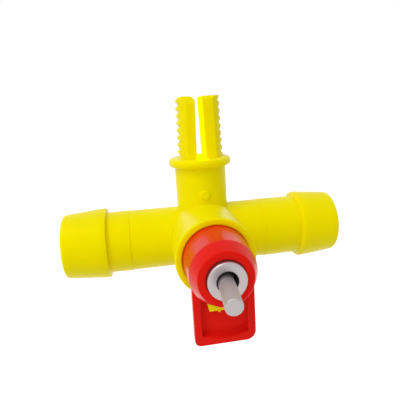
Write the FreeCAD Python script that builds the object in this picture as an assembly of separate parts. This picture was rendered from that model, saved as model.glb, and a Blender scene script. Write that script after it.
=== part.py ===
import FreeCAD, Part
import math
import os

# Poultry nipple drinker: a hose tee with a split clamping post and a plug-in nipple valve.
# Units are millimetres. The origin is where the hose axis (X) meets the post axis (+Z).
# The nipple points along -Y: "reach" below is a distance from the hose axis along -Y.

# ---- hose tails (along X, both ends alike but for their moulded edges) ----
stem_diameter = 10.0
waterway_diameter = 6.5
barb_diameter = 11.5
barb_tip_diameter = 10.35
barb_shoulder_x = 16.05
barb_land_length = 1.0
tail_length = 23.0
left_shoulder_radius = 0.15
left_tip_radius = 0.4
right_shoulder_radius = 0.5
right_tip_radius = 0.85
bore_mouth_chamfer = 0.5
mould_step = 0.07
left_mould_line_x = 12.4
right_mould_line_x = 10.0

# ---- clamping post (along +Z) ----
post_diameter = 8.5
collar_diameter = 10.4
collar_base_z = 11.85
collar_thickness = 1.5
collar_edge_radius = 0.7
post_top_z = 23.2
thread_diameter = 7.6
thread_centre_x = 0.15
thread_pitch = 1.18
thread_depth = 0.55
thread_crest_width = 0.12
thread_right_root_z = 22.54
thread_flats_width = 6.0
slot_width = 1.5
leg_lean_angle = 1.15
left_leg_top_radius = 0.9
right_leg_top_radius = 0.15
leg_chamfer_depth = 0.35
left_leg_chamfer_height = 1.0
right_leg_chamfer_height = 0.5
pip_diameter = 1.65
pip_height = 0.28
pip_edge_radius = 0.22
pip_z = 7.55

# ---- boss and its socket (along -Y) ----
boss_diameter = 12.0
boss_reach = 12.9
boss_rim_radius = 0.3
socket_diameter = 9.9
socket_floor_reach = 6.0
socket_lead_chamfer = 0.15
port_diameter = 5.0

# ---- latch hook of the tee, which holds the nipple in by its tab ----
hook_arm_width = 3.4
hook_head_top_width = 4.3
hook_head_foot_width = 3.6
hook_head_drop = 6.9
hook_head_length = 1.05
hook_ramp_drop = 0.3
hook_arm_inset = 0.075
gate_vestige_radius = 0.2
gate_vestige_x = -0.45

# ---- nipple body and its finger tab ----
socket_clearance = 0.04
nose_edge_diameter = 9.25
nose_edge_reach = 18.5
nose_face_diameter = 7.5
nose_face_reach = 20.57
tab_width = 8.9
tab_centre_x = 0.3
tab_foot_z = -11.75
tab_front_reach = 15.93
tab_thickness = 1.8
tab_left_corner_radius = 0.9
tab_right_corner_radius = 1.4
tab_edge_radius = 0.18
pocket_width = 6.7
pocket_depth = 1.2
pocket_foot_margin = 1.5
pocket_foot_bow = 0.55
window_clearance = 0.15
body_inlet_gap = 0.2
body_inlet_chamfer = 0.4
chamber_diameter = 5.6
web_front_reach = 13.3
web_thickness = 1.7
orifice_diameter = 2.6
valve_seat_angle = 45.0

# ---- O-ring between the nipple body and the socket ----
groove_reach = 7.7
groove_width = 1.7
groove_floor_diameter = 7.4
groove_side_clearance = 0.1
seal_clearance = 0.01
o_ring_edge_radius = 0.45

# ---- stainless seat sleeve, pressed into the nose ----
sleeve_diameter = 5.2
sleeve_front_reach = 21.35
sleeve_rim_radius = 0.24
sleeve_relief_width = 0.1
sleeve_relief_depth = 0.45
pin_hole_diameter = 2.84
pin_hole_edge_radius = 0.08
seat_half_angle = 35.0
head_chamber_diameter = 4.0

# ---- trigger pin, ball and metering pin ----
pin_diameter = 2.2
pin_tip_reach = 27.15
pin_tip_chamfer = 0.25
pivot_reach = 17.5
head_sphere_diameter = 3.7
seal_land_half_angle = 2.5
pin_lean_angle = 3.6
pin_lean_side_angle = 45.0
ball_diameter = 2.0
running_clearance = 0.03
metering_stem_diameter = 2.0
metering_head_diameter = 3.8
metering_head_height = 1.4
metering_tail_diameter = 1.6
metering_tail_length = 1.0
push_travel = 0.4
stop_margin = 0.15

# ---- inlet strainer, pressed into the body's inner end ----
strainer_thickness = 1.2
strainer_hole_diameter = 0.9
strainer_hole_circle = 3.6
strainer_hole_count = 6
strainer_stop_diameter = 1.8

# ---- worked out from the sizes above ----
origin = FreeCAD.Vector(0, 0, 0)
along_x = FreeCAD.Vector(1, 0, 0)
along_y = FreeCAD.Vector(0, 1, 0)
along_z = FreeCAD.Vector(0, 0, 1)
forward = FreeCAD.Vector(0, -1, 0)
overrun = 1.0
same_place = 1e-4
parallel_cosine = 0.9
body_diameter = socket_diameter - 2 * socket_clearance
body_inlet_reach = socket_floor_reach + body_inlet_gap
web_back_reach = web_front_reach - web_thickness
collar_top_z = collar_base_z + collar_thickness
tab_back_reach = tab_front_reach - tab_thickness
pocket_floor_reach = tab_front_reach - pocket_depth
hook_back_reach = pocket_floor_reach + running_clearance
hook_front_reach = hook_back_reach + hook_head_length
hook_arm_top = body_diameter / 2 + window_clearance
hook_arm_foot = boss_diameter / 2 - hook_arm_inset
head_seat_radius = head_sphere_diameter / 2
ball_back_reach = pivot_reach - ball_diameter / 2


def revolved(points, axis):
    """Solid of the closed outline of (along, radius) points turned round an axis."""
    if axis.isEqual(along_x, same_place):
        corners = [FreeCAD.Vector(along, 0, radius) for along, radius in points]
    else:
        corners = [FreeCAD.Vector(0, -along, radius) for along, radius in points]
    face = Part.Face(Part.makePolygon(corners + corners[:1]))
    return face.revolve(origin, axis, 360)


def rod(diameter, start, end, direction):
    """Cylinder from start to end, both measured along a direction from the origin."""
    return Part.makeCylinder(diameter / 2, end - start, direction * start, direction)


def block(width, y_low, y_high, z_low, z_high, x_centre=0.0):
    """Box centred on x_centre."""
    corner = FreeCAD.Vector(x_centre - width / 2, y_low, z_low)
    return Part.makeBox(width, y_high - y_low, z_high - z_low, corner)


def round_rings(shape, rings):
    """Fillet circular edges, each given as (along, diameter, radius, direction)."""
    for along, diameter, radius, direction in rings:
        centre = direction * along
        chosen = []
        for edge in shape.Edges:
            curve = edge.Curve
            if not isinstance(curve, Part.Circle):
                continue
            near = (curve.Center - centre).Length < same_place
            if near and abs(curve.Radius - diameter / 2) < same_place:
                chosen.append(edge)
        shape = shape.makeFillet(radius, chosen)
    return shape


def hose_tail(side, mould_line_x, shoulder_radius, tip_radius):
    """Stem and barb on one side: side is 1 for +X and -1 for -X."""
    stem = stem_diameter / 2
    outline = [
        (0, 0),
        (tail_length, 0),
        (tail_length, barb_tip_diameter / 2),
        (barb_shoulder_x + barb_land_length, barb_diameter / 2),
        (barb_shoulder_x, barb_diameter / 2),
        (barb_shoulder_x, stem),
        (mould_line_x, stem + mould_step),
        (mould_line_x, stem),
        (0, stem),
    ]
    tail = revolved([(side * along, radius) for along, radius in outline], along_x)
    towards = along_x * side
    rings = [
        (tail_length, barb_tip_diameter, tip_radius, towards),
        (barb_shoulder_x, barb_diameter, shoulder_radius, towards),
    ]
    return round_rings(tail, rings)


def boss_blank():
    """Round boss for the nipple, closed behind by a dome on the hose axis."""
    boss = rod(boss_diameter, 0, boss_reach, forward)
    boss = round_rings(boss, [(boss_reach, boss_diameter, boss_rim_radius, forward)])
    return boss.fuse(Part.makeSphere(boss_diameter / 2))


def thread_grooves(side):
    """Grooves between the thread's teeth, which stand on the outer side of each leg only. A
    groove is a straight V across the leg, tilted by the thread's lead."""
    crest = thread_diameter / 2
    half_mouth = (thread_pitch - thread_crest_width) / 2
    tilt = math.degrees(math.atan2(thread_pitch, math.pi * thread_diameter))
    top_root_z = thread_right_root_z + thread_pitch
    if side < 0:
        top_root_z -= thread_pitch / 2
    turns = math.ceil((top_root_z - collar_top_z) / thread_pitch)
    corners = [
        FreeCAD.Vector(side * (crest - thread_depth), -crest, 0),
        FreeCAD.Vector(side * crest, -crest, -half_mouth),
        FreeCAD.Vector(side * (crest + overrun), -crest, -half_mouth),
        FreeCAD.Vector(side * (crest + overrun), -crest, half_mouth),
        FreeCAD.Vector(side * crest, -crest, half_mouth),
    ]
    face = Part.Face(Part.makePolygon(corners + corners[:1]))
    grooves = []
    for turn in range(turns):
        groove = face.extrude(along_y * thread_diameter)
        groove.rotate(origin, along_x, side * tilt)
        groove.translate(FreeCAD.Vector(thread_centre_x, 0, top_root_z - turn * thread_pitch))
        grooves.append(groove)
    return grooves


def leg_chamfers(side, height):
    """Wedges taken off the front and back edges of a leg's top."""
    reach = thread_flats_width / 2
    wedges = []
    for facing in (-1, 1):
        corners = [
            FreeCAD.Vector(0, facing * reach, post_top_z - height),
            FreeCAD.Vector(0, facing * (reach - leg_chamfer_depth), post_top_z),
            FreeCAD.Vector(0, facing * (reach - leg_chamfer_depth), post_top_z + overrun),
            FreeCAD.Vector(0, facing * (reach + overrun), post_top_z + overrun),
            FreeCAD.Vector(0, facing * (reach + overrun), post_top_z - height),
        ]
        face = Part.Face(Part.makePolygon(corners + corners[:1]))
        wedges.append(face.extrude(along_x * (side * thread_diameter)))
    return wedges


def leg(side, top_radius, chamfer_height):
    """One threaded half of the split end (side is 1 for +X), leaning in at its top."""
    near = slot_width / 2
    reach = thread_flats_width / 2
    shape = rod(thread_diameter, collar_base_z, post_top_z, along_z)
    shape.translate(along_x * thread_centre_x)
    width = thread_diameter
    keep = block(width, -reach, reach, 0, post_top_z, side * (near + width / 2))
    shape = shape.common(keep).cut(thread_grooves(side))
    shape = shape.cut(leg_end_waste(side, top_radius))
    shape = shape.cut(leg_chamfers(side, chamfer_height))
    foot = FreeCAD.Vector(side * near, 0, collar_top_z)
    shape.rotate(foot, along_y, -side * leg_lean_angle)
    return shape


def leg_end_waste(side, radius):
    """What is taken off a leg's top to round its edges at the slot and at the thread."""
    inner = slot_width / 2
    outer = thread_diameter / 2 + side * thread_centre_x
    width = outer - inner
    centre = side * (inner + width / 2)
    depth = thread_diameter
    cap = block(width, -depth, depth, post_top_z - width, post_top_z, centre)
    edges = []
    for edge in cap.Edges:
        along = edge.tangentAt(edge.FirstParameter)
        if abs(along.y) > parallel_cosine and edge.CenterOfMass.z > post_top_z - same_place:
            edges.append(edge)
    rounded = cap.makeFillet(radius, edges)
    outside = block(width, -depth, depth, post_top_z - radius, post_top_z + overrun, centre)
    return outside.cut(rounded)


def post():
    """Post with its collar, split threaded legs and the moulded pip on its front."""
    shape = rod(post_diameter, 0, collar_base_z + collar_edge_radius, along_z)
    collar = rod(collar_diameter, collar_base_z, collar_top_z, along_z)
    rings = [
        (collar_base_z, collar_diameter, collar_edge_radius, along_z),
        (collar_top_z, collar_diameter, collar_edge_radius, along_z),
    ]
    shape = shape.fuse(round_rings(collar, rings))
    left_leg = leg(-1, left_leg_top_radius, left_leg_chamfer_height)
    right_leg = leg(1, right_leg_top_radius, right_leg_chamfer_height)
    shape = shape.fuse([left_leg, right_leg])
    pip_face = post_diameter / 2 + pip_height
    pip = rod(pip_diameter, post_diameter / 4, pip_face, forward)
    pip = round_rings(pip, [(pip_face, pip_diameter, pip_edge_radius, forward)])
    pip.translate(along_z * pip_z)
    return shape.fuse(pip)


def latch_hook():
    """Arm from the boss's rim through the tab's window, with a ramped head on its end."""
    top = hook_arm_top
    foot = hook_head_drop
    half_top = hook_head_top_width / 2
    half_foot = hook_head_foot_width / 2
    arm = block(hook_arm_width, -hook_front_reach, -(boss_reach - overrun), -hook_arm_foot, -top)
    corners = [
        FreeCAD.Vector(-half_top, -hook_back_reach, -top),
        FreeCAD.Vector(half_top, -hook_back_reach, -top),
        FreeCAD.Vector(half_foot, -hook_back_reach, -foot),
        FreeCAD.Vector(-half_foot, -hook_back_reach, -foot),
    ]
    face = Part.Face(Part.makePolygon(corners + corners[:1]))
    head = face.extrude(forward * hook_head_length)
    ramp_corners = [
        FreeCAD.Vector(-half_top, -hook_front_reach, -foot - overrun),
        FreeCAD.Vector(-half_top, -hook_front_reach, -foot + hook_ramp_drop),
        FreeCAD.Vector(-half_top, -hook_back_reach, -foot),
        FreeCAD.Vector(-half_top, -hook_back_reach, -foot - overrun),
    ]
    ramp = Part.Face(Part.makePolygon(ramp_corners + ramp_corners[:1]))
    head = head.cut(ramp.extrude(along_x * hook_head_top_width))
    return arm.fuse(head)


def gate_vestige():
    """Small nub left on the hook's lower edge where the moulding gate was broken off."""
    place = FreeCAD.Vector(gate_vestige_x, -hook_front_reach, -hook_head_drop + hook_ramp_drop)
    return Part.makeSphere(gate_vestige_radius, place)


def tee_body():
    """One-piece moulding: two hose tails, clamping post, boss and latch hook."""
    shape = hose_tail(-1, left_mould_line_x, left_shoulder_radius, left_tip_radius)
    right = hose_tail(1, right_mould_line_x, right_shoulder_radius, right_tip_radius)
    shape = shape.fuse([right, boss_blank()])
    shape = shape.fuse(post())
    shape = shape.cut(rod(waterway_diameter, -tail_length - overrun, tail_length + overrun, along_x))
    mouth = waterway_diameter / 2 + bore_mouth_chamfer
    for side in (-1, 1):
        cone = Part.makeCone(waterway_diameter / 2, mouth, bore_mouth_chamfer,
                             along_x * (side * (tail_length - bore_mouth_chamfer)), along_x * side)
        shape = shape.cut(cone)
    shape = shape.cut(rod(port_diameter, 0, socket_floor_reach, forward))
    shape = shape.cut(rod(socket_diameter, socket_floor_reach, boss_reach + overrun, forward))
    lead = Part.makeCone(socket_diameter / 2, socket_diameter / 2 + socket_lead_chamfer,
                         socket_lead_chamfer, forward * (boss_reach - socket_lead_chamfer), forward)
    shape = shape.cut(lead)
    hook = latch_hook().fuse(gate_vestige())
    hook = hook.cut(rod(socket_diameter, 0, boss_reach, forward))
    return shape.fuse(hook).removeSplitter()


def nipple_outside():
    """Turned outside of the nipple body: plug, seal groove, slow taper and nose cone."""
    radius = body_diameter / 2
    outline = [
        (body_inlet_reach, 0),
        (body_inlet_reach, radius - body_inlet_chamfer),
        (body_inlet_reach + body_inlet_chamfer, radius),
        (groove_reach, radius),
        (groove_reach, groove_floor_diameter / 2),
        (groove_reach + groove_width, groove_floor_diameter / 2),
        (groove_reach + groove_width, radius),
        (boss_reach, radius),
        (nose_edge_reach, nose_edge_diameter / 2),
        (nose_face_reach, nose_face_diameter / 2),
        (nose_face_reach, 0),
    ]
    return revolved(outline, along_y)


def valve_seat():
    """How far the metering pin's seat cone rises from the orifice, and its length."""
    rise = metering_head_diameter / 2 + running_clearance - orifice_diameter / 2
    return rise, rise / math.tan(math.radians(valve_seat_angle))


def nipple_hollow():
    """Everything bored out of the nipple body: inlet chamber, valve seat and sleeve pocket."""
    chamber = chamber_diameter / 2
    orifice = orifice_diameter / 2
    sleeve = sleeve_diameter / 2
    seat_rise, seat_length = valve_seat()
    outline = [
        (body_inlet_reach - overrun, 0),
        (body_inlet_reach - overrun, chamber),
        (web_back_reach, chamber),
        (web_back_reach, orifice + seat_rise),
        (web_back_reach + seat_length, orifice),
        (web_front_reach, orifice),
        (web_front_reach, sleeve),
        (nose_face_reach - sleeve_relief_depth, sleeve),
        (nose_face_reach - sleeve_relief_depth, sleeve + sleeve_relief_width),
        (nose_face_reach + overrun, sleeve + sleeve_relief_width),
        (nose_face_reach + overrun, 0),
    ]
    return revolved(outline, along_y)


def tab_plate():
    """Finger tab that hangs from the body, with rounded lower corners and soft front edges."""
    plate = block(tab_width, -tab_front_reach, -tab_back_reach, tab_foot_z, 0, tab_centre_x)
    corners = {-1: tab_left_corner_radius, 1: tab_right_corner_radius}
    for side, radius in corners.items():
        chosen = []
        for edge in plate.Edges:
            if abs(edge.tangentAt(edge.FirstParameter).y) < parallel_cosine:
                continue
            centre = edge.CenterOfMass
            if side * (centre.x - tab_centre_x) > 0 and centre.z < tab_foot_z + same_place:
                chosen.append(edge)
        plate = plate.makeFillet(radius, chosen)
    rim = []
    for edge in plate.Edges:
        box = edge.BoundBox
        flat = box.YLength < same_place and abs(box.YMin + tab_front_reach) < same_place
        if flat and box.ZMin < -same_place:
            rim.append(edge)
    return plate.makeFillet(tab_edge_radius, rim)


def tab_pocket():
    """Shallow pocket in the tab's front, its lower wall bowed downwards."""
    half = pocket_width / 2
    side_z = tab_foot_z + pocket_foot_margin
    front = -tab_front_reach - overrun
    left = tab_centre_x - half
    right = tab_centre_x + half
    corners = [FreeCAD.Vector(right, front, side_z), FreeCAD.Vector(right, front, 0),
               FreeCAD.Vector(left, front, 0), FreeCAD.Vector(left, front, side_z)]
    bottom = FreeCAD.Vector(tab_centre_x, front, side_z - pocket_foot_bow)
    edges = [Part.makeLine(corners[0], corners[1]), Part.makeLine(corners[1], corners[2]),
             Part.makeLine(corners[2], corners[3]),
             Part.Arc(corners[3], bottom, corners[0]).toShape()]
    face = Part.Face(Part.Wire(edges))
    return face.extrude(along_y * (overrun + pocket_depth))


def nipple_body():
    """Red valve body: plug end, nose cone and finger tab in one moulding."""
    tab = tab_plate().cut(tab_pocket())
    window_width = hook_arm_width + 2 * window_clearance
    window = block(window_width, -tab_front_reach, -tab_back_reach,
                   -hook_arm_foot - window_clearance, 0)
    tab = tab.cut(window)
    shape = nipple_outside().fuse(tab)
    return shape.cut(nipple_hollow()).removeSplitter()


def body_o_ring():
    """Rubber ring in the plug's groove, pressed flat against groove floor and socket."""
    inner = groove_floor_diameter / 2 + seal_clearance
    outer = socket_diameter / 2 - seal_clearance
    half = groove_width / 2 - groove_side_clearance
    middle = groove_reach + groove_width / 2
    ring = rod(2 * outer, middle - half, middle + half, forward)
    ring = ring.cut(rod(2 * inner, middle - half, middle + half, forward))
    rings = []
    for along in (middle - half, middle + half):
        for diameter in (2 * inner, 2 * outer):
            rings.append((along, diameter, o_ring_edge_radius, forward))
    return round_rings(ring, rings)


def seat_cone():
    """Where the sleeve's seat cone starts and ends, tangent to the pin's head sphere."""
    angle = math.radians(seat_half_angle)
    touch_reach = pivot_reach + head_seat_radius * math.sin(angle)
    touch_radius = head_seat_radius * math.cos(angle) + running_clearance
    wide = touch_reach - (head_chamber_diameter / 2 - touch_radius) / math.tan(angle)
    narrow = touch_reach + (touch_radius - pin_hole_diameter / 2) / math.tan(angle)
    return wide, narrow


def seat_sleeve():
    """Stainless sleeve: seat for the pin's head, and the hole that the pin swings in."""
    wide, narrow = seat_cone()
    outer = rod(sleeve_diameter, web_front_reach, sleeve_front_reach, forward)
    outer = round_rings(outer, [(sleeve_front_reach, sleeve_diameter, sleeve_rim_radius, forward)])
    hollow = [
        (web_front_reach - overrun, 0),
        (web_front_reach - overrun, head_chamber_diameter / 2),
        (wide, head_chamber_diameter / 2),
        (narrow, pin_hole_diameter / 2),
        (sleeve_front_reach + overrun, pin_hole_diameter / 2),
        (sleeve_front_reach + overrun, 0),
    ]
    sleeve = outer.cut(revolved(hollow, along_y))
    mouth = (sleeve_front_reach, pin_hole_diameter, pin_hole_edge_radius, forward)
    return round_rings(sleeve, [mouth])


def trigger_pin():
    """Pin with a cupped head: a narrow spherical land seats it and the ball sits in its cup."""
    seat = math.radians(90 - seat_half_angle)
    land = math.radians(seal_land_half_angle)
    low = seat - land
    high = seat + land
    head = head_seat_radius * math.sin(high)
    land_front = (head_seat_radius * math.cos(low), head_seat_radius * math.sin(low))
    land_back = (head_seat_radius * math.cos(high), head)
    shank = pin_diameter / 2
    neck = land_front[0] + (land_front[1] - shank)
    tip = pin_tip_reach - pivot_reach
    outline = [
        (0, 0),
        (0, head),
        land_back,
        (head_seat_radius * math.cos(seat), head_seat_radius * math.sin(seat)),
        land_front,
        (neck, shank),
        (tip - pin_tip_chamfer, shank),
        (tip, shank - pin_tip_chamfer),
        (tip, 0),
    ]
    pin = revolved(outline, along_y)
    pin = pin.cut(Part.makeSphere(ball_diameter / 2 + running_clearance))
    pin.rotate(origin, along_x, pin_lean_angle)
    pin.rotate(origin, along_y, pin_lean_side_angle)
    pin.translate(forward * pivot_reach)
    return pin


def valve_ball():
    """Steel ball in the pin head's cup, centred where the pin pivots."""
    return Part.makeSphere(ball_diameter / 2, forward * pivot_reach)


def metering_pin():
    """Upper valve pin: its cone closes the orifice and its stem rests on the ball."""
    stem = metering_stem_diameter / 2
    head = metering_head_diameter / 2
    tail = metering_tail_diameter / 2
    slope = math.tan(math.radians(valve_seat_angle))
    lift = running_clearance / math.sin(math.radians(valve_seat_angle))
    seat_end = web_back_reach + valve_seat()[1]
    cone_front = seat_end + (orifice_diameter / 2 - stem) / slope - lift
    cone_back = cone_front - (head - stem) / slope
    top = cone_back - metering_head_height
    outline = [
        (top - metering_tail_length, 0),
        (top - metering_tail_length, tail),
        (top, tail),
        (top, head),
        (cone_back, head),
        (cone_front, stem),
        (ball_back_reach - running_clearance / 2, stem),
        (ball_back_reach - running_clearance / 2, 0),
    ]
    return revolved(outline, along_y), top - metering_tail_length


def inlet_strainer(metering_back_reach):
    """Drilled disc in the body's inner end, with a stop for the metering pin."""
    back = body_inlet_reach
    disc = rod(chamber_diameter, back, back + strainer_thickness, forward)
    stop_reach = metering_back_reach - push_travel - stop_margin
    disc = disc.fuse(rod(strainer_stop_diameter, back, stop_reach, forward))
    for index in range(strainer_hole_count):
        hole = rod(strainer_hole_diameter, back - overrun, back + strainer_thickness + overrun, forward)
        hole.translate(along_x * (strainer_hole_circle / 2))
        hole.rotate(origin, along_y, index * 360.0 / strainer_hole_count)
        disc = disc.cut(hole)
    return disc.removeSplitter()


def main():
    os.makedirs("parts", exist_ok=True)
    metering, metering_back_reach = metering_pin()
    nodes = {
        "tee_body": tee_body(),
        "nipple_body": nipple_body(),
        "body_o_ring": body_o_ring(),
        "seat_sleeve": seat_sleeve(),
        "trigger_pin": trigger_pin(),
        "valve_ball": valve_ball(),
        "metering_pin": metering,
        "inlet_strainer": inlet_strainer(metering_back_reach),
    }
    for name, shape in nodes.items():
        shape.exportStep("parts/" + name + ".step")
        print(name, len(shape.Solids), shape.isValid(), round(shape.Volume, 3))


main()
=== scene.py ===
import math

import bmesh
import bpy
from mathutils import Matrix, Vector


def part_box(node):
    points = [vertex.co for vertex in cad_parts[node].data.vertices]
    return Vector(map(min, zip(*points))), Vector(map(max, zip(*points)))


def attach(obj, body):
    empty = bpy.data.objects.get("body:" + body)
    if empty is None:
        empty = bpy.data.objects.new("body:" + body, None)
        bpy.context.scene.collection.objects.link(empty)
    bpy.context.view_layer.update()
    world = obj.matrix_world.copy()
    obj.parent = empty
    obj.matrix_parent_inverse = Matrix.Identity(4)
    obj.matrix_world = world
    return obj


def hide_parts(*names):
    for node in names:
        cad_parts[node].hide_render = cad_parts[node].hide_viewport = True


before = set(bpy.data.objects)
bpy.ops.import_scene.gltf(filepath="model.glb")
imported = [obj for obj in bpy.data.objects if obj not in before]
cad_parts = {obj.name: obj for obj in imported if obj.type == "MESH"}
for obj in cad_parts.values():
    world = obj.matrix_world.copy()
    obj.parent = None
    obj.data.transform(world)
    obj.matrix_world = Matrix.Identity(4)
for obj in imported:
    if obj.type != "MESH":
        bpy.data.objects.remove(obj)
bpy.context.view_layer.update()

bl_info = {
    "name": "Poultry nipple drinker",
    "version": (1, 0, 0),
    "blender": (4, 5, 0),
    "location": "View3D > Sidebar > Drinker",
    "description": "Builds a hose tee with a plug-in nipple valve around its packed frame",
    "category": "Object",
}

# Shapes are built in millimetres and scaled to metres when a piece is finished.
# "Reach" is a distance from the hose axis along -Y, the way the nipple points.
MM = 0.001
OVERRUN = 1.0
TURNED_STEPS = 144
MOULDED_CORNER = 0.12

# ---- hose tails ----
WATERWAY_RADIUS = 3.25
BORE_MOUTH_CHAMFER = 0.5
BARB_TIP_RADIUS = 5.175
BARB_LAND = 1.0
SHOULDER_X = 16.05
MOULD_STEP = 0.07
MOULD_LINES_X = (-12.4, 10.0)
SHOULDER_ROUNDING = (0.15, 0.5)
TIP_ROUNDING = (0.4, 0.85)
LAND_ROUNDING = 0.2

# ---- post, collar and split threaded legs ----
COLLAR_BASE_Z = 11.85
COLLAR_THICKNESS = 1.5
COLLAR_ROUNDING = 0.7
POST_TOP_Z = 23.2
THREAD_RADIUS = 3.8
THREAD_DEPTH = 0.55
THREAD_CENTRE_X = 0.15
THREAD_CREST_WIDTH = 0.12
THREAD_ROOT_Z = 22.54
THREAD_FLAT_Y = 3.0
LEG_LEAN_ANGLE = 1.15
LEG_TOP_ROUNDING = (0.9, 0.15)
LEG_CHAMFER_DEPTH = 0.35
LEG_CHAMFER_HEIGHTS = (1.0, 0.5)
THINNEST_LEG = 0.02
PIP_RADIUS = 0.825
PIP_HEIGHT = 0.28
PIP_ROUNDING = 0.8 * PIP_HEIGHT
PIP_ROOT = 1.5
PIP_Z = 7.55

# ---- boss, socket and latch hook ----
BOSS_RADIUS = 6.0
BOSS_REACH = 12.9
BOSS_RIM_ROUNDING = 0.3
SOCKET_RADIUS = 4.95
SOCKET_FLOOR = 6.0
PORT_RADIUS = 2.5
SOCKET_LEAD = 0.15
HOOK_ARM_WIDTH = 3.4
HOOK_ARM_Z = (-5.925, -5.06)
HOOK_HEAD_WIDTHS = (4.3, 3.6)
HOOK_HEAD_FOOT_Z = -6.9
HOOK_BACK_REACH = 14.76
HOOK_HEAD_LENGTH = 1.05
HOOK_RAMP_DROP = 0.3
HOOK_ARM_EDGE = 0.05
HOOK_HEAD_EDGE = 0.06
HOOK_OVERLAP = 0.1
VESTIGE_RADIUS = 0.2
VESTIGE_X = -0.45

# ---- nipple body ----
BODY_RADIUS = 4.91
BODY_INLET_REACH = 6.2
BODY_INLET_CHAMFER = 0.4
CHAMBER_RADIUS = 2.8
WEB_BACK_REACH = 11.6
VALVE_SEAT_RADIUS = 1.93
VALVE_SEAT_END = 12.23
ORIFICE_RADIUS = 1.3
GROOVE = (7.7, 9.4, 3.7)
NOSE_EDGE = (18.5, 4.625)
NOSE_FACE_RADIUS = 3.75
TAPER_ROUNDING = 0.6
NOSE_EDGE_ROUNDING = 0.35
NOSE_FACE_ROUNDING = 0.18
RELIEF_ROUNDING = 0.06
TAB_FRONT_REACH = 15.93
TAB_THICKNESS = 1.8
TAB_CENTRE_X = 0.3
TAB_CORNERS = (0.9, 1.4)
TAB_EDGE_ROUNDING = 0.18
TAB_BACK_EDGE = 0.08
TAB_CORE_REACHES = (13.0, 17.0)
TAB_CORE_OVERLAP = 0.5
POCKET_WIDTH = 6.7
POCKET_DEPTH = 1.2
POCKET_FOOT_MARGIN = 1.5
POCKET_BOW = 0.55
POCKET_LEAD = 0.12
POCKET_FLOOR_ROUNDING = 0.2
POCKET_FLOOR_EASE = 0.06
WINDOW_CLEARANCE = 0.15

# ---- stainless sleeve and pin ----
SLEEVE_RADIUS = 2.6
SLEEVE_BACK_REACH = 13.3
SLEEVE_RIM_ROUNDING = 0.24
SLEEVE_RELIEF = (0.1, 0.45)
SLEEVE_BACK_ROUNDING = 0.1
HEAD_CHAMBER_RADIUS = 2.0
PIN_HOLE_RADIUS = 1.42
PIN_HOLE_ROUNDING = 0.08
SEAT_REACHES = (17.91, 18.74)
PIVOT_REACH = 17.5
HEAD_RADIUS = 1.85
HEAD_BACK_RADIUS = 1.56
SEAL_LAND_ANGLES = (57.5, 52.5)
CUP_RADIUS = 1.03
NECK_LENGTH = 1.44
PIN_TIP_ROUNDING = 0.2
PIN_LEAN_ANGLE = 3.6
PIN_LEAN_SIDE_ANGLE = 45.0

# ---- plastics ----
SCATTER_DEPTH = 1.2
# painted light: strength of the emission that brightens the tee's slot walls
SLOT_WALL_PAINTED_GLOW = 0.5

# ---- stage: places in metres, the camera's shift as a share of its frame ----
FLOOR_HALF_SIZE = 4.0
FLOOR_GLOW = 0.6
SURROUND_LIGHT = 0.6
KEY_PLACE = (-0.32, -0.30, 0.58)
KEY_SIZE = 0.40
FILL_PLACE = (-0.45, -0.45, 0.08)
FILL_SIZE = 0.35
CAMERA_PLACE = (-0.008311, -0.067919, 0.021597)
CAMERA_RIGHT = (0.9825, -0.1795, -0.0502)
CAMERA_AHEAD = (0.1659, 0.9649, -0.2036)
CAMERA_LENS = 36.71
CAMERA_SHIFT = (-0.0522, -0.0246)


def linear(hex_colour):
    """Scene-linear RGB of an sRGB hex colour such as "E8DC00"."""
    channels = [int(hex_colour[i:i + 2], 16) / 255 for i in (0, 2, 4)]
    return [c / 12.92 if c <= 0.04045 else ((c + 0.055) / 1.055) ** 2.4 for c in channels]


def length_property(name, description, millimetres):
    """Length kept in metres, given its default in millimetres."""
    return bpy.props.FloatProperty(name=name, description=description, default=millimetres * MM,
                                   min=0.0, precision=5, subtype="DISTANCE", unit="LENGTH")


def colour_property(name, description, hex_colour):
    """Colour swatch with an sRGB hex default."""
    return bpy.props.FloatVectorProperty(name=name, description=description, size=3,
                                         default=linear(hex_colour), min=0.0, max=1.0,
                                         subtype="COLOR")


def cad_reach(node):
    """How far a CAD node reaches along -Y, in millimetres."""
    return -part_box(node)[0].y / MM


class DrinkerTeeSettings(bpy.types.PropertyGroup):
    stem_diameter: length_property("Stem", "Outside diameter of the hose tails", 10.0)
    barb_diameter: length_property("Barb", "Diameter over the barbs", 11.5)
    tail_length: length_property("Tail length", "From the middle to either end of the hose tails",
                                 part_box("tee_body")[1].x / MM)
    post_diameter: length_property("Post", "Diameter of the clamping post", 8.5)
    collar_diameter: length_property("Collar", "Diameter of the collar under the legs", 10.4)
    slot_width: length_property("Slot", "Width of the wire slot at its foot", 1.5)
    thread_pitch: length_property("Thread pitch", "Distance between turns of the thread", 1.18)
    colour: colour_property("Colour", "Colour of the tee's plastic", "F5E600")


class DrinkerNippleSettings(bpy.types.PropertyGroup):
    nose_reach: length_property("Nose", "Reach of the nose's face", cad_reach("nipple_body"))
    tab_width: length_property("Tab width", "Width of the finger tab", 8.9)
    tab_drop: length_property("Tab drop", "From the valve's axis down to the tab's foot", 11.75)
    colour: colour_property("Colour", "Colour of the valve body's plastic", "E41E14")


class DrinkerMetalSettings(bpy.types.PropertyGroup):
    sleeve_reach: length_property("Sleeve", "Reach of the sleeve's face", cad_reach("seat_sleeve"))
    pin_diameter: length_property("Pin", "Diameter of the trigger pin", 2.2)
    pin_reach: length_property("Pin reach", "Reach of the pin's tip, before it leans", 27.15)
    colour: colour_property("Colour", "Colour of the stainless steel", "B4ACAC")


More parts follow.
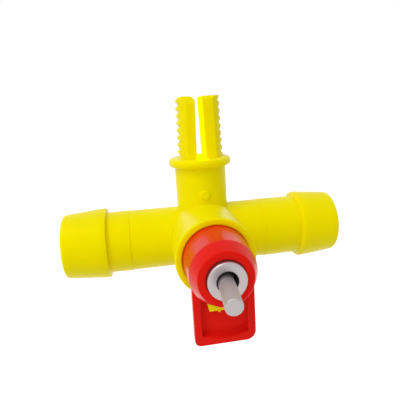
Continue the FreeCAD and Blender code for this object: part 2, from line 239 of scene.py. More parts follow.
class DrinkerStageSettings(bpy.types.PropertyGroup):
    floor_drop: length_property("Floor", "How far the floor lies below the hose axis", 60.0)
    key_power: bpy.props.FloatProperty(name="Key light", description="Power of the large soft light",
                                       default=2.1, min=0.0, unit="POWER")
    fill_power: bpy.props.FloatProperty(name="Fill light", description="Power of the low light",
                                        default=0.3, min=0.0, unit="POWER")
    colour: colour_property("Floor colour", "Colour of the floor", "E2E2E2")


# ---- mesh building ----
def rounded(points, radii, steps=5):
    """Outline whose corners, named by index, are rounded to the radii given for them."""
    outline = []
    count = len(points)
    for index, point in enumerate(points):
        corner = Vector(point)
        radius = radii.get(index, 0.0)
        if not radius:
            outline.append(tuple(corner))
            continue
        back = (Vector(points[index - 1]) - corner).normalized()
        ahead = (Vector(points[(index + 1) % count]) - corner).normalized()
        half = back.angle(ahead) / 2
        centre = corner + (back + ahead).normalized() * (radius / math.sin(half))
        start = corner + back * (radius / math.tan(half)) - centre
        end = corner + ahead * (radius / math.tan(half)) - centre
        turn = math.remainder(math.atan2(end.y, end.x) - math.atan2(start.y, start.x), 2 * math.pi)
        for step in range(steps + 1):
            outline.append(tuple(centre + Matrix.Rotation(turn * step / steps, 2) @ start))
    return outline


def arc(centre, radius, start, end, steps):
    """Points of (along, radius) on an arc, its angles in degrees from the along axis."""
    angles = [math.radians(start + (end - start) * step / steps) for step in range(steps + 1)]
    return [(centre + radius * math.cos(angle), radius * math.sin(angle)) for angle in angles]


def turned(outline, axis, closed=False):
    """Mesh of an outline of (along, radius) points turned round an axis: X, Y (reach) or Z."""
    place = {
        "X": lambda a, u, v: (a, u, v),
        "Y": lambda a, u, v: (u, -a, v),
        "Z": lambda a, u, v: (u, v, a),
    }[axis]
    bm = bmesh.new()
    rings = []
    for along, radius in outline:
        if radius < 1e-6:
            rings.append([bm.verts.new(place(along, 0, 0))])
            continue
        ring = []
        for step in range(TURNED_STEPS):
            angle = 2 * math.pi * step / TURNED_STEPS
            ring.append(bm.verts.new(place(along, radius * math.cos(angle), radius * math.sin(angle))))
        rings.append(ring)
    pairs = list(zip(rings, rings[1:]))
    if closed:
        pairs.append((rings[-1], rings[0]))
    for first, second in pairs:
        for step in range(TURNED_STEPS):
            after = (step + 1) % TURNED_STEPS
            if len(first) == 1 and len(second) == 1:
                break
            if len(first) == 1:
                bm.faces.new((first[0], second[after], second[step]))
            elif len(second) == 1:
                bm.faces.new((first[step], first[after], second[0]))
            else:
                bm.faces.new((first[step], first[after], second[after], second[step]))
    return mesh_of(bm)


def mesh_of(bm):
    """Mesh from a bmesh, with its faces turned outwards."""
    bmesh.ops.recalc_face_normals(bm, faces=bm.faces)
    mesh = bpy.data.meshes.new("shape")
    bm.to_mesh(mesh)
    bm.free()
    return mesh


def stacked(loops):
    """Solid from loops of equal point counts laid one on the next, its two ends capped."""
    bm = bmesh.new()
    rows = [[bm.verts.new(point) for point in loop] for loop in loops]
    for row, following in zip(rows, rows[1:]):
        for index in range(len(row)):
            after = (index + 1) % len(row)
            bm.faces.new((row[index], row[after], following[after], following[index]))
    bm.faces.new(rows[0])
    bm.faces.new(rows[-1])
    return mesh_of(bm)


def block(x_range, y_range, z_range, edge=0.0):
    """Box, its edges softened where edge is given."""
    (x0, x1), (y0, y1), (z0, z1) = x_range, y_range, z_range
    corners = [(x0, z0), (x1, z0), (x1, z1), (x0, z1)]
    mesh = stacked([[(x, y, z) for x, z in corners] for y in (y0, y1)])
    return softened(mesh, edge) if edge else mesh


def softened(mesh, width):
    """The mesh with all its edges rounded to a small width."""
    bm = bmesh.new()
    bm.from_mesh(mesh)
    bmesh.ops.bevel(bm, geom=list(bm.edges), offset=width, segments=3, profile=0.5,
                    affect="EDGES", clamp_overlap=True)
    bm.to_mesh(mesh)
    bm.free()
    return mesh


def combined(base, added=(), removed=()):
    """One mesh from a base, with meshes joined to it and others cut from it."""
    objects = [bpy.data.objects.new("working", mesh) for mesh in (base, *added, *removed)]
    for obj in objects:
        bpy.context.scene.collection.objects.link(obj)
    for index, other in enumerate(objects[1:]):
        step = objects[0].modifiers.new("step", "BOOLEAN")
        step.operation = "UNION" if index < len(added) else "DIFFERENCE"
        step.solver = "EXACT"
        step.object = other
    graph = bpy.context.evaluated_depsgraph_get()
    mesh = bpy.data.meshes.new_from_object(objects[0].evaluated_get(graph))
    for obj in objects:
        bpy.data.objects.remove(obj)
    if not mesh.polygons:
        raise RuntimeError("a shape came out empty when its parts were joined")
    return mesh


def finished(name, mesh, materials, body, node, second_faces=None):
    """Piece in metres from a mesh in millimetres, riding a body in place of a CAD node.

    The first material covers it; second_faces says which faces take the second one.
    """
    mesh.materials.clear()
    for material in materials:
        mesh.materials.append(material)
    if second_faces:
        for face in mesh.polygons:
            face.material_index = int(second_faces(face.center, face.normal))
    mesh.transform(Matrix.Scale(MM, 4))
    mesh.shade_smooth()
    mesh.set_sharp_from_angle(angle=math.radians(32.0))
    mesh.name = name
    piece = bpy.data.objects.new(name, mesh)
    bpy.context.scene.collection.objects.link(piece)
    weighting = piece.modifiers.new("even_shading", "WEIGHTED_NORMAL")
    weighting.keep_sharp = True
    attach(piece, body)
    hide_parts(node)
    return piece


# ---- materials ----
def new_material(name):
    """Empty node material with a Principled shader, as (material, tree, shader)."""
    material = bpy.data.materials.new(name)
    material.use_nodes = True
    tree = material.node_tree
    return material, tree, tree.nodes["Principled BSDF"]


def add_node(tree, kind, settings=None, links=None, outputs=None):
    """Adds a node: settings by property or socket, links into it, and outputs from it."""
    node = tree.nodes.new(kind)
    for key, value in (settings or {}).items():
        if isinstance(key, int) or key in node.inputs:
            node.inputs[key].default_value = value
        else:
            setattr(node, key, value)
    for key, source in (links or {}).items():
        tree.links.new(source, node.inputs[key])
    for key, target in (outputs or {}).items():
        tree.links.new(node.outputs[key], target)
    return node


def per_millimetre(size):
    """Texture scale, in metres, of a pattern whose grains are this many millimetres across."""
    return 1.0 / (size * MM)


def moulded_plastic(name, colour, roughness, specular, scatter, edge=0.0, glow=0.0):
    """Glossy injection-moulded polypropylene.

    The mould's polish gives a low sheen broken by faint flow marks, and thick walls let a
    little light in, which keeps the shade side of the part warm and full in colour. glow is
    painted light: an emission in the plastic's own colour that brightens the faces which take it,
    standing in for the light that comes through thin walls lit from behind.
    """
    material, tree, shader = new_material(name)
    place = add_node(tree, "ShaderNodeTexCoord").outputs["Object"]
    clouds = add_node(tree, "ShaderNodeTexNoise",
                      {"Scale": per_millimetre(5.0), "Detail": 3.0, "Roughness": 0.5},
                      {"Vector": place})
    shade = add_node(tree, "ShaderNodeMapRange", {"To Min": 0.96, "To Max": 1.03},
                     {"Value": clouds.outputs["Fac"]})
    tint = add_node(tree, "ShaderNodeVectorMath", {"operation": "SCALE", 0: colour},
                    {"Scale": shade.outputs["Result"]})
    tree.links.new(tint.outputs["Vector"], shader.inputs["Base Color"])
    flow = add_node(tree, "ShaderNodeTexNoise",
                    {"Scale": per_millimetre(2.5), "Detail": 3.0, "Distortion": 0.5},
                    {"Vector": place})
    gloss = add_node(tree, "ShaderNodeMapRange",
                     {"To Min": roughness - 0.02, "To Max": roughness + 0.03},
                     {"Value": flow.outputs["Fac"]})
    tree.links.new(gloss.outputs["Result"], shader.inputs["Roughness"])
    grain = add_node(tree, "ShaderNodeTexNoise",
                     {"Scale": per_millimetre(0.7), "Detail": 2.0}, {"Vector": place})
    bump = add_node(tree, "ShaderNodeBump", {"Strength": 0.25, "Distance": 0.012 * MM},
                    {"Height": grain.outputs["Fac"]}, {"Normal": shader.inputs["Normal"]})
    if edge:
        add_node(tree, "ShaderNodeBevel", {"samples": 8, "Radius": edge * MM}, {},
                 {"Normal": bump.inputs["Normal"]})
    shader.inputs["IOR"].default_value = 1.49
    shader.inputs["Specular IOR Level"].default_value = specular
    # dye close under the skin tints what the surface reflects head-on
    shader.inputs["Specular Tint"].default_value = (*[c / max(colour) for c in colour], 1.0)
    # painted light: the plastic glows in its own colour at strength glow, though it is no lamp
    shader.inputs["Emission Color"].default_value = (*colour, 1.0)
    shader.inputs["Emission Strength"].default_value = glow
    shader.inputs["Subsurface Weight"].default_value = scatter
    shader.inputs["Subsurface Radius"].default_value = (1.0, 0.6, 0.2)
    shader.inputs["Subsurface Scale"].default_value = SCATTER_DEPTH * MM
    return material


def turned_stainless(name, colour, roughness, rings):
    """Stainless steel turned on a lathe and left satin.

    The tool leaves rings on faces and bands along shanks. They are really about 0.05 mm apart
    and are drawn at 0.14 mm, so that they show as a faint grain in the reflections.
    """
    material, tree, shader = new_material(name)
    place = add_node(tree, "ShaderNodeTexCoord").outputs["Object"]
    wave_kind = {"wave_type": "RINGS", "rings_direction": "Y"} if rings else {
        "wave_type": "BANDS", "bands_direction": "Y"}
    wave_scale = 2 * math.pi / 20 * per_millimetre(0.14)
    marks = add_node(tree, "ShaderNodeTexWave",
                     {**wave_kind, "Scale": wave_scale, "Distortion": 0.6, "Detail": 2.0},
                     {"Vector": place})
    smudges = add_node(tree, "ShaderNodeTexNoise",
                       {"Scale": per_millimetre(1.8), "Detail": 4.0}, {"Vector": place})
    gloss = add_node(tree, "ShaderNodeMapRange",
                     {"To Min": roughness - 0.06, "To Max": roughness + 0.08},
                     {"Value": smudges.outputs["Fac"]})
    tree.links.new(gloss.outputs["Result"], shader.inputs["Roughness"])
    shade = add_node(tree, "ShaderNodeMapRange", {"To Min": 0.94, "To Max": 1.03},
                     {"Value": smudges.outputs["Fac"]})
    tint = add_node(tree, "ShaderNodeVectorMath", {"operation": "SCALE", 0: colour},
                    {"Scale": shade.outputs["Result"]})
    tree.links.new(tint.outputs["Vector"], shader.inputs["Base Color"])
    edges = add_node(tree, "ShaderNodeBevel", {"samples": 4, "Radius": 0.05 * MM})
    add_node(tree, "ShaderNodeBump", {"Strength": 0.25, "Distance": 0.004 * MM},
             {"Height": marks.outputs["Fac"], "Normal": edges.outputs["Normal"]},
             {"Normal": shader.inputs["Normal"]})
    shader.inputs["Metallic"].default_value = 1.0
    return material


def plain_inner(name, hex_colour, roughness, metallic, grain_size):
    """Material of a piece inside the valve: a plain colour over a fine uneven surface."""
    material, tree, shader = new_material(name)
    place = add_node(tree, "ShaderNodeTexCoord").outputs["Object"]
    grain = add_node(tree, "ShaderNodeTexNoise",
                     {"Scale": per_millimetre(grain_size), "Detail": 3.0}, {"Vector": place})
    shade = add_node(tree, "ShaderNodeMapRange", {"To Min": 0.92, "To Max": 1.04},
                     {"Value": grain.outputs["Fac"]})
    tint = add_node(tree, "ShaderNodeVectorMath", {"operation": "SCALE", 0: linear(hex_colour)},
                    {"Scale": shade.outputs["Result"]})
    tree.links.new(tint.outputs["Vector"], shader.inputs["Base Color"])
    add_node(tree, "ShaderNodeBump", {"Strength": 0.3, "Distance": 0.01 * MM},
             {"Height": grain.outputs["Fac"]}, {"Normal": shader.inputs["Normal"]})
    shader.inputs["Roughness"].default_value = roughness
    shader.inputs["Metallic"].default_value = metallic
    return material


def seen_ray(tree):
    """1 for rays from the camera and for reflected or refracted ones, otherwise 0."""
    path = add_node(tree, "ShaderNodeLightPath")
    either = add_node(tree, "ShaderNodeMath", {"operation": "MAXIMUM"},
                      {0: path.outputs["Is Camera Ray"], 1: path.outputs["Is Glossy Ray"]})
    return add_node(tree, "ShaderNodeMath", {"operation": "MAXIMUM"},
                    {0: either.outputs[0], 1: path.outputs["Is Transmission Ray"]}).outputs[0]


# ---- the tee's shapes ----
def tails_mesh(settings):
    """Both hose tails with their barbs, solid, turned round X."""
    stem = settings.stem_diameter / MM / 2
    barb = settings.barb_diameter / MM / 2
    end = settings.tail_length / MM
    halves = []
    for side, mould_line, shoulder, tip in zip((-1, 1), MOULD_LINES_X, SHOULDER_ROUNDING, TIP_ROUNDING):
        points = [
            (side * end, 0),
            (side * end, BARB_TIP_RADIUS),
            (side * (SHOULDER_X + BARB_LAND), barb),
            (side * SHOULDER_X, barb),
            (side * SHOULDER_X, stem),
            (mould_line, stem + MOULD_STEP),
            (mould_line, stem),
            (side * 1.0, stem),
        ]
        radii = {1: tip, 2: LAND_ROUNDING, 3: shoulder, 4: MOULDED_CORNER}
        halves.append(rounded(points, radii))
    return turned(halves[0] + halves[1][::-1], "X")


def bore_mesh(settings):
    """Waterway through both tails, with chamfered mouths."""
    end = settings.tail_length / MM
    wide = WATERWAY_RADIUS + BORE_MOUTH_CHAMFER
    inner = end - BORE_MOUTH_CHAMFER
    outline = [(-end - OVERRUN, 0), (-end - OVERRUN, wide), (-end, wide), (-inner, WATERWAY_RADIUS),
               (inner, WATERWAY_RADIUS), (end, wide), (end + OVERRUN, wide), (end + OVERRUN, 0)]
    return turned(outline, "X")


def boss_mesh():
    """Round boss with its domed back."""
    dome = arc(0.0, BOSS_RADIUS, 180.0, 90.0, 28)
    dome[0] = (-BOSS_RADIUS, 0)
    front = rounded([(0, BOSS_RADIUS), (BOSS_REACH, BOSS_RADIUS), (BOSS_REACH, 0)],
                    {1: BOSS_RIM_ROUNDING})
    return turned(dome + front[1:], "Y")


def socket_mesh():
    """Socket for the nipple and the port that joins it to the waterway."""
    outline = [(0, 0), (0, PORT_RADIUS), (SOCKET_FLOOR, PORT_RADIUS), (SOCKET_FLOOR, SOCKET_RADIUS),
               (BOSS_REACH - SOCKET_LEAD, SOCKET_RADIUS), (BOSS_REACH, SOCKET_RADIUS + SOCKET_LEAD),
               (BOSS_REACH + OVERRUN, SOCKET_RADIUS + SOCKET_LEAD), (BOSS_REACH + OVERRUN, 0)]
    return turned(outline, "Y")


def post_mesh(settings):
    """Post and collar, turned round Z."""
    post = settings.post_diameter / MM / 2
    collar = settings.collar_diameter / MM / 2
    top = COLLAR_BASE_Z + COLLAR_THICKNESS
    points = [(0, 0), (0, post), (COLLAR_BASE_Z, post), (COLLAR_BASE_Z, collar), (top, collar), (top, 0)]
    radii = {2: MOULDED_CORNER, 3: COLLAR_ROUNDING, 4: COLLAR_ROUNDING}
    return turned(rounded(points, radii, 8), "Z")


def pip_mesh(settings):
    """Small round pip that the moulding leaves on the post's front."""
    face = settings.post_diameter / MM / 2 + PIP_HEIGHT
    root = face - PIP_ROOT
    points = [(root, 0), (root, PIP_RADIUS), (face, PIP_RADIUS), (face, 0)]
    mesh = turned(rounded(points, {2: PIP_ROUNDING}), "Y")
    mesh.transform(Matrix.Translation((0, 0, PIP_Z)))
    return mesh


def leg_side(side, along, z, pitch):
    """How far a leg's toothed side stands from the thread's axis at a place along Y and Z."""
    half_turn = pitch / 2 if side < 0 else 0.0
    root = THREAD_ROOT_Z + half_turn + side * along * pitch / (2 * math.pi * THREAD_RADIUS)
    away = abs((z - root + pitch / 2) % pitch - pitch / 2)
    half_mouth = (pitch - THREAD_CREST_WIDTH) / 2
    tooth = THREAD_RADIUS - THREAD_DEPTH * max(0.0, 1.0 - away / half_mouth)
    return min(tooth, math.sqrt(THREAD_RADIUS ** 2 - along ** 2))


def leg_heights(pitch, rounding):
    """Heights of a leg's rows: fine up the thread, finer still over its rounded top."""
    foot = COLLAR_BASE_Z + COLLAR_THICKNESS / 2
    straight_top = POST_TOP_Z - rounding
    rows = int((straight_top - foot) / (pitch / 16))
    heights = [foot + (straight_top - foot) * row / rows for row in range(rows)]
    for step in range(11):
        heights.append(straight_top + rounding * math.sin(math.radians(9 * step)))
    return heights


def leg_mesh(settings, side, rounding, chamfer):
    """One half of the split end, its thread cut on its outer side, leaning in at its top."""
    pitch = settings.thread_pitch / MM
    near = settings.slot_width / MM / 2
    outermost = THREAD_RADIUS + side * THREAD_CENTRE_X
    loops = []
    for z in leg_heights(pitch, rounding):
        lift = max(0.0, z - (POST_TOP_Z - rounding))
        drawn_in = rounding - math.sqrt(max(0.0, rounding ** 2 - lift ** 2))
        inner = near + drawn_in
        depth = THREAD_FLAT_Y - LEG_CHAMFER_DEPTH * max(0.0, 1.0 - (POST_TOP_Z - z) / chamfer)
        across = [depth * math.sin(math.radians(6 * step - 90)) for step in range(31)]
        outer = []
        for y in across:
            width = leg_side(side, y, z, pitch) + side * THREAD_CENTRE_X
            outer.append(max(inner + THINNEST_LEG, min(width, outermost - drawn_in)))
        loop = [(side * x, y, z) for x, y in zip(outer, across)]
        loop += [(side * inner, y, z) for y in across[::-1]]
        loops.append(loop)
    mesh = stacked(loops)
    foot = Vector((side * near, 0, COLLAR_BASE_Z + COLLAR_THICKNESS))
    lean = Matrix.Rotation(math.radians(-side * LEG_LEAN_ANGLE), 4, "Y")
    mesh.transform(Matrix.Translation(foot) @ lean @ Matrix.Translation(-foot))
    return mesh


def hook_meshes():
    """Latch arm, its ramped head and the nub left where the gate was broken off."""
    front = HOOK_BACK_REACH + HOOK_HEAD_LENGTH
    half_arm = HOOK_ARM_WIDTH / 2
    arm = block((-half_arm, half_arm), (-front + HOOK_OVERLAP, -BOSS_REACH + OVERRUN), HOOK_ARM_Z,
                HOOK_ARM_EDGE)
    half_top, half_foot = (width / 2 for width in HOOK_HEAD_WIDTHS)
    top = HOOK_ARM_Z[1]
    back_loop = [(-half_top, -HOOK_BACK_REACH, top), (half_top, -HOOK_BACK_REACH, top),
                 (half_foot, -HOOK_BACK_REACH, HOOK_HEAD_FOOT_Z),
                 (-half_foot, -HOOK_BACK_REACH, HOOK_HEAD_FOOT_Z)]
    raised = HOOK_HEAD_FOOT_Z + HOOK_RAMP_DROP
    front_loop = [(-half_top, -front, top), (half_top, -front, top),
                  (half_foot, -front, raised), (-half_foot, -front, raised)]
    head = softened(stacked([back_loop, front_loop]), HOOK_HEAD_EDGE)
    nub = turned(arc(0.0, VESTIGE_RADIUS, 180.0, 0.0, 12), "Y")
    nub.transform(Matrix.Translation((VESTIGE_X, -front, raised)))
    return [arm, head, nub]


# ---- the nipple's shapes ----
def nipple_turned_mesh(settings):
    """Plug, seal groove, nose cone and everything bored out of them."""
    nose = settings.nose_reach / MM
    relief_width, relief_depth = SLEEVE_RELIEF
    groove_back, groove_front, groove_floor = GROOVE
    outline = [
        (BODY_INLET_REACH, BODY_RADIUS - BODY_INLET_CHAMFER),
        (BODY_INLET_REACH + BODY_INLET_CHAMFER, BODY_RADIUS),
        (groove_back, BODY_RADIUS),
        (groove_back, groove_floor),
        (groove_front, groove_floor),
        (groove_front, BODY_RADIUS),
        (BOSS_REACH, BODY_RADIUS),
        NOSE_EDGE,
        (nose, NOSE_FACE_RADIUS),
        (nose, SLEEVE_RADIUS + relief_width),
        (nose - relief_depth, SLEEVE_RADIUS + relief_width),
        (nose - relief_depth, SLEEVE_RADIUS),
        (SLEEVE_BACK_REACH, SLEEVE_RADIUS),
        (SLEEVE_BACK_REACH, ORIFICE_RADIUS),
        (VALVE_SEAT_END, ORIFICE_RADIUS),
        (WEB_BACK_REACH, VALVE_SEAT_RADIUS),
        (WEB_BACK_REACH, CHAMBER_RADIUS),
        (BODY_INLET_REACH, CHAMBER_RADIUS),
    ]
    radii = {6: TAPER_ROUNDING, 7: NOSE_EDGE_ROUNDING, 8: NOSE_FACE_ROUNDING, 9: RELIEF_ROUNDING}
    return turned(rounded(outline, radii), "Y", closed=True)


def tab_outline(settings, inset):
    """Tab's edge in X and Z, drawn in by an inset; its upper end lies inside the body."""
    half = settings.tab_width / MM / 2 - inset
    left, right = TAB_CENTRE_X - half, TAB_CENTRE_X + half
    foot = -settings.tab_drop / MM + inset
    corners = [(left, foot), (right, foot), (right, -1.0), (left, -1.0)]
    radii = {0: TAB_CORNERS[0] - inset, 1: TAB_CORNERS[1] - inset}
    return rounded(corners, radii, 8)


def pocket_outline(settings, inset):
    """Pocket's edge in X and Z, its lower side bowed down."""
    half = POCKET_WIDTH / 2 - inset
    side_z = -settings.tab_drop / MM + POCKET_FOOT_MARGIN + inset
    outline = []
    for step in range(21):
        share = step / 10 - 1
        outline.append((TAB_CENTRE_X + share * half, side_z - POCKET_BOW * (1 - share ** 2)))
    return outline + [(TAB_CENTRE_X + half, 0.0), (TAB_CENTRE_X - half, 0.0)]


def tab_mesh(settings):
    """Finger tab with rounded front edges, its pocket and the window for the hook."""
    front = -TAB_FRONT_REACH
    back = front + TAB_THICKNESS
    rounding = TAB_EDGE_ROUNDING
    levels = []
    for step in range(5):
        angle = math.radians(22.5 * step)
        levels.append((rounding * (1 - math.sin(angle)), front + rounding * (1 - math.cos(angle))))
    levels.append((0.0, back - TAB_BACK_EDGE))
    levels.append((TAB_BACK_EDGE, back))
    loops = [[(x, y, z) for x, z in tab_outline(settings, inset)] for inset, y in levels]
    plate = stacked(loops)
    floor = front + POCKET_DEPTH
    pocket_levels = [(-POCKET_LEAD, front - OVERRUN), (-POCKET_LEAD, front), (0.0, front + POCKET_LEAD),
                     (0.0, floor - POCKET_FLOOR_ROUNDING),
                     (POCKET_FLOOR_EASE, floor - POCKET_FLOOR_EASE),
                     (POCKET_FLOOR_ROUNDING, floor)]
    pocket_loops = [[(x, y, z) for x, z in pocket_outline(settings, inset)]
                    for inset, y in pocket_levels]
    pocket = stacked(pocket_loops)
    half_window = HOOK_ARM_WIDTH / 2 + WINDOW_CLEARANCE
    window = block((-half_window, half_window), (front - OVERRUN, back + OVERRUN),
                   (HOOK_ARM_Z[0] - WINDOW_CLEARANCE, 0.0))
    core_back, core_front = TAB_CORE_REACHES
    core_radius = BODY_RADIUS - TAB_CORE_OVERLAP
    core = turned([(core_back, 0), (core_back, core_radius), (core_front, core_radius),
                   (core_front, 0)], "Y")
    return combined(plate, removed=(pocket, window, core))


# ---- the metal shapes ----
def sleeve_mesh(settings):
    """Stainless sleeve, with its seat cone and pin hole."""
    front = settings.sleeve_reach / MM
    seat_wide, seat_narrow = SEAT_REACHES
    outline = [(SLEEVE_BACK_REACH, HEAD_CHAMBER_RADIUS), (seat_wide, HEAD_CHAMBER_RADIUS),
               (seat_narrow, PIN_HOLE_RADIUS), (front, PIN_HOLE_RADIUS), (front, SLEEVE_RADIUS),
               (SLEEVE_BACK_REACH, SLEEVE_RADIUS)]
    radii = {3: PIN_HOLE_ROUNDING, 4: SLEEVE_RIM_ROUNDING, 5: SLEEVE_BACK_ROUNDING}
    return turned(rounded(outline, radii, 7), "Y", closed=True)


def pin_mesh(settings):
    """Trigger pin with its head at the pivot, leaning as it hangs."""
    shank = settings.pin_diameter / MM / 2
    tip = settings.pin_reach / MM - PIVOT_REACH
    outline = [(0, CUP_RADIUS), (0, HEAD_BACK_RADIUS)]
    outline += arc(0.0, HEAD_RADIUS, *SEAL_LAND_ANGLES, 4)
    outline += [(NECK_LENGTH, shank), (tip, shank), (tip, 0)]
    last = len(outline)
    cup = arc(0.0, CUP_RADIUS, 0.0, 90.0, 10)
    cup[0] = (CUP_RADIUS, 0)
    outline = cup[:-1] + rounded(outline, {last - 2: PIN_TIP_ROUNDING}, 6)
    mesh = turned(outline, "Y")
    lean = Matrix.Rotation(math.radians(PIN_LEAN_ANGLE), 4, "X")
    sideways = Matrix.Rotation(math.radians(PIN_LEAN_SIDE_ANGLE), 4, "Y")
    mesh.transform(Matrix.Translation((0, -PIVOT_REACH, 0)) @ sideways @ lean)
    return mesh


# ---- operators ----
class DRINKER_OT_stage(bpy.types.Operator):
    """Make the pale floor, the soft lights, the white surround and the camera"""
    bl_idname = "drinker.stage"
    bl_label = "Stage"

    def execute(self, context):
        settings = context.scene.drinker_stage
        self.floor(context, settings)
        self.surround(context)
        self.lamp(context, "key_light", KEY_PLACE, KEY_SIZE, settings.key_power)
        self.lamp(context, "fill_light", FILL_PLACE, FILL_SIZE, settings.fill_power)
        self.camera(context)
        context.scene.view_settings.view_transform = "Standard"
        return {"FINISHED"}

    def floor(self, context, settings):
        """Wide plain floor that shows white and still takes the object's shadow."""
        bm = bmesh.new()
        bmesh.ops.create_grid(bm, x_segments=1, y_segments=1, size=FLOOR_HALF_SIZE)
        mesh = mesh_of(bm)
        obj = bpy.data.objects.new("floor", mesh)
        obj.location.z = -settings.floor_drop
        context.scene.collection.objects.link(obj)
        material, tree, shader = new_material("painted_studio_floor")
        shader.inputs["Base Color"].default_value = (*settings.colour, 1.0)
        shader.inputs["Roughness"].default_value = 0.9
        glow = add_node(tree, "ShaderNodeEmission", {"Strength": FLOOR_GLOW}).outputs[0]
        glow_when_seen = add_node(tree, "ShaderNodeMixShader", {}, {0: seen_ray(tree), 2: glow})
        output = tree.nodes["Material Output"]
        add_node(tree, "ShaderNodeAddShader", {},
                 {0: shader.outputs[0], 1: glow_when_seen.outputs[0]}, {0: output.inputs["Surface"]})
        mesh.materials.append(material)

    def surround(self, context):
        """World that looks white and lights the object softly from all round."""
        world = bpy.data.worlds.new("soft_surround")
        context.scene.world = world
        world.use_nodes = True
        tree = world.node_tree
        light = tree.nodes["Background"]
        light.inputs["Color"].default_value = (1.0, 1.0, 1.0, 1.0)
        light.inputs["Strength"].default_value = SURROUND_LIGHT
        white = add_node(tree, "ShaderNodeBackground", {"Color": (1, 1, 1, 1), "Strength": 1.0})
        add_node(tree, "ShaderNodeMixShader", {},
                 {0: seen_ray(tree), 1: light.outputs[0], 2: white.outputs[0]},
                 {0: tree.nodes["World Output"].inputs["Surface"]})

    def lamp(self, context, name, place, size, power):
        """Square soft light aimed at the object."""
        data = bpy.data.lights.new(name, "AREA")
        data.size = size
        data.energy = power
        obj = bpy.data.objects.new(name, data)
        obj.location = place
        obj.rotation_euler = (-Vector(place)).to_track_quat("-Z", "Y").to_euler()
        context.scene.collection.objects.link(obj)

    def camera(self, context):
        """Camera a little above and to the left of the nipple."""
        data = bpy.data.cameras.new("camera")
        data.lens = CAMERA_LENS
        data.sensor_width = 36.0
        data.shift_x, data.shift_y = CAMERA_SHIFT
        data.clip_start = 0.001
        obj = bpy.data.objects.new("camera", data)
        right = Vector(CAMERA_RIGHT).normalized()
        ahead = Vector(CAMERA_AHEAD).normalized()
        up = right.cross(ahead).normalized()
        turn = Matrix((right, up, -ahead)).transposed().to_4x4()
        obj.matrix_world = Matrix.Translation(CAMERA_PLACE) @ turn
        context.scene.collection.objects.link(obj)
        context.scene.camera = obj


class DRINKER_OT_tee(bpy.types.Operator):
    """Build the one-piece tee: tails, boss, post, collar, threaded legs and latch hook"""
    bl_idname = "drinker.tee"
    bl_label = "Tee body"

    def execute(self, context):
        settings = context.scene.drinker_tee
        added = [boss_mesh(), post_mesh(settings), pip_mesh(settings)]
        for side, rounding, chamfer in zip((-1, 1), LEG_TOP_ROUNDING, LEG_CHAMFER_HEIGHTS):
            added.append(leg_mesh(settings, side, rounding, chamfer))
        added += hook_meshes()
        mesh = combined(tails_mesh(settings), added, (bore_mesh(settings), socket_mesh()))
        colour = list(settings.colour)
        polished = moulded_plastic("yellow_moulded_polypropylene", colour, 0.33, 0.16, 0.5, 0.12)
        # the steel slide that forms the slot drags on it and leaves its walls dull; the walls also carry
        # painted light, an emission in the yellow that makes them brighter
        dull_slot_wall_painted_glow = moulded_plastic("yellow_polypropylene_slot_wall_painted_glow", colour, 0.85, 0.02, 0.5,
                                  glow=SLOT_WALL_PAINTED_GLOW)
        half_slot = settings.slot_width / MM / 2

        # faces of the slot walls, which take the dull material with its painted glow
        def in_slot_dull_painted_glow(place, normal):
            level = COLLAR_BASE_Z + COLLAR_THICKNESS - 0.1
            return place.z > level and abs(place.x) < half_slot + 0.05 and abs(normal.y) < 0.5

        finished("tee_moulding", mesh, (polished, dull_slot_wall_painted_glow), "housing", "tee_body",
                 in_slot_dull_painted_glow)
        return {"FINISHED"}


class DRINKER_OT_nipple(bpy.types.Operator):
    """Build the nipple body: turned plug and nose with its finger tab"""
    bl_idname = "drinker.nipple"
    bl_label = "Nipple body"

    def execute(self, context):
        settings = context.scene.drinker_nipple
        mesh = combined(nipple_turned_mesh(settings), (tab_mesh(settings),))
        plastic = moulded_plastic("red_moulded_acetal", list(settings.colour), 0.25, 0.6, 0.08)
        finished("nipple_moulding", mesh, (plastic,), "housing", "nipple_body")
        return {"FINISHED"}


class DRINKER_OT_metal(bpy.types.Operator):
    """Build the stainless sleeve and the trigger pin"""
    bl_idname = "drinker.metal"
    bl_label = "Sleeve and trigger pin"

    def execute(self, context):
        settings = context.scene.drinker_metal
        colour = list(settings.colour)
        faced = turned_stainless("stainless_faced_on_lathe", colour, 0.36, True)
        drawn = turned_stainless("stainless_turned_shank", colour, 0.5, False)
        finished("steel_sleeve", sleeve_mesh(settings), (faced,), "housing",
                 "seat_sleeve")
        finished("steel_trigger_pin", pin_mesh(settings), (drawn,), "trigger",
                 "trigger_pin")
        return {"FINISHED"}


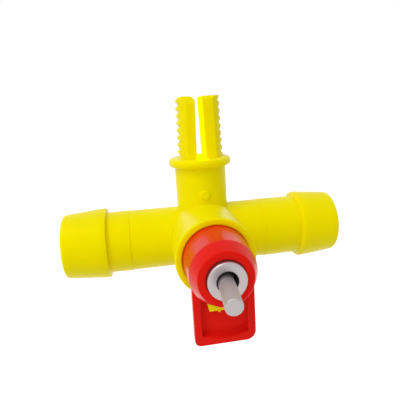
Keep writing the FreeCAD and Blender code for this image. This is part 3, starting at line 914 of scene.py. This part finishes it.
class DRINKER_OT_inner(bpy.types.Operator):
    """Give the ring, ball, metering pin and strainer inside the valve their materials"""
    bl_idname = "drinker.inner"
    bl_label = "Inner pieces"

    def execute(self, context):
        looks = {
            # moulded nitrile rubber: black and dull, with a fine tooth
            "body_o_ring": plain_inner("black_nitrile_rubber", "1B1B1B", 0.6, 0.0, 0.3),
            # ground and polished bearing ball: bright and even
            "valve_ball": plain_inner("polished_stainless_ball", "D8D8DA", 0.08, 1.0, 2.0),
            # turned stainless, satin
            "metering_pin": plain_inner("turned_stainless_inner", "CFC9C6", 0.28, 1.0, 0.2),
            # unpainted moulded polypropylene: milky and soft in sheen
            "inlet_strainer": plain_inner("natural_polypropylene", "E6E5DF", 0.45, 0.0, 0.8),
        }
        for node, material in looks.items():
            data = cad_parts[node].data
            data.materials.clear()
            data.materials.append(material)
        return {"FINISHED"}


class DRINKER_PT_panel(bpy.types.Panel):
    """Sizes, colours and build buttons of the drinker"""
    bl_idname = "DRINKER_PT_panel"
    bl_label = "Nipple drinker"
    bl_space_type = "VIEW_3D"
    bl_region_type = "UI"
    bl_category = "Drinker"

    def draw(self, context):
        for group_name, operators in PANEL_ROWS:
            box = self.layout.box()
            group = getattr(context.scene, group_name, None)
            if group:
                for key in group.__annotations__:
                    box.prop(group, key)
            for operator in operators:
                box.operator(operator.bl_idname)


SETTINGS = {
    "drinker_tee": DrinkerTeeSettings,
    "drinker_nipple": DrinkerNippleSettings,
    "drinker_metal": DrinkerMetalSettings,
    "drinker_stage": DrinkerStageSettings,
}
OPERATORS = (DRINKER_OT_stage, DRINKER_OT_tee, DRINKER_OT_nipple, DRINKER_OT_metal, DRINKER_OT_inner)
PANEL_ROWS = (
    ("drinker_tee", (DRINKER_OT_tee,)),
    ("drinker_nipple", (DRINKER_OT_nipple,)),
    ("drinker_metal", (DRINKER_OT_metal, DRINKER_OT_inner)),
    ("drinker_stage", (DRINKER_OT_stage,)),
)


def register():
    for cls in (*SETTINGS.values(), *OPERATORS, DRINKER_PT_panel):
        bpy.utils.register_class(cls)
    for name, group in SETTINGS.items():
        setattr(bpy.types.Scene, name, bpy.props.PointerProperty(type=group))


def unregister():
    for name in SETTINGS:
        delattr(bpy.types.Scene, name)
    for cls in (DRINKER_PT_panel, *OPERATORS[::-1], *list(SETTINGS.values())[::-1]):
        bpy.utils.unregister_class(cls)


def main():
    register()
    bpy.ops.drinker.stage()
    bpy.ops.drinker.tee()
    bpy.ops.drinker.nipple()
    bpy.ops.drinker.metal()
    bpy.ops.drinker.inner()


if __name__ == "__main__":
    main()
